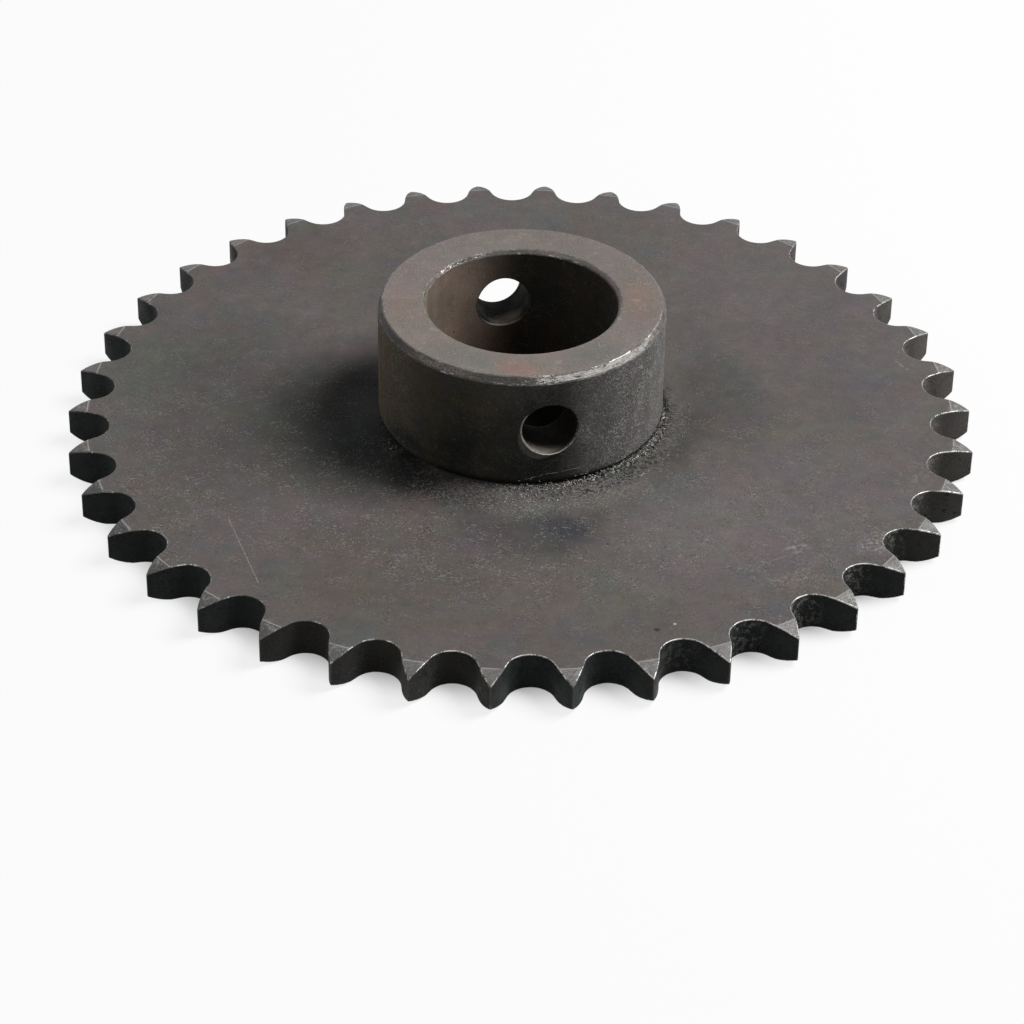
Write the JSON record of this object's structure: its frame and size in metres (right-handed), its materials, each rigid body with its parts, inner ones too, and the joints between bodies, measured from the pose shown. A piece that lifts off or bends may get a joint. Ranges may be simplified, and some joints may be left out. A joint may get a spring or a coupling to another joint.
{
  "type": "chain sprocket",
  "caption": "Roller-chain sprocket: toothed steel plate welded to a one-sided turned hub with a through bore and a cross hole for a pin.",
  "frame": {"origin": "on the shaft axis, in the plate's back face", "axes": "+Z along the shaft axis towards the hub's nose; Y along the cross hole"},
  "size_m": [0.2006, 0.2002, 0.036],
  "materials": {
    "plate_steel": "dark mill-finished steel, oiled, fine scratches",
    "hub_steel": "turned steel, dulled and oiled, rust-brown tints",
    "weld_metal": "rippled weld bead, dark"
  },
  "bodies": {
    "root": {"toothed_plate": "plate_steel", "hub": "hub_steel", "weld_ring": "weld_metal"}
  },
  "joints": []
}
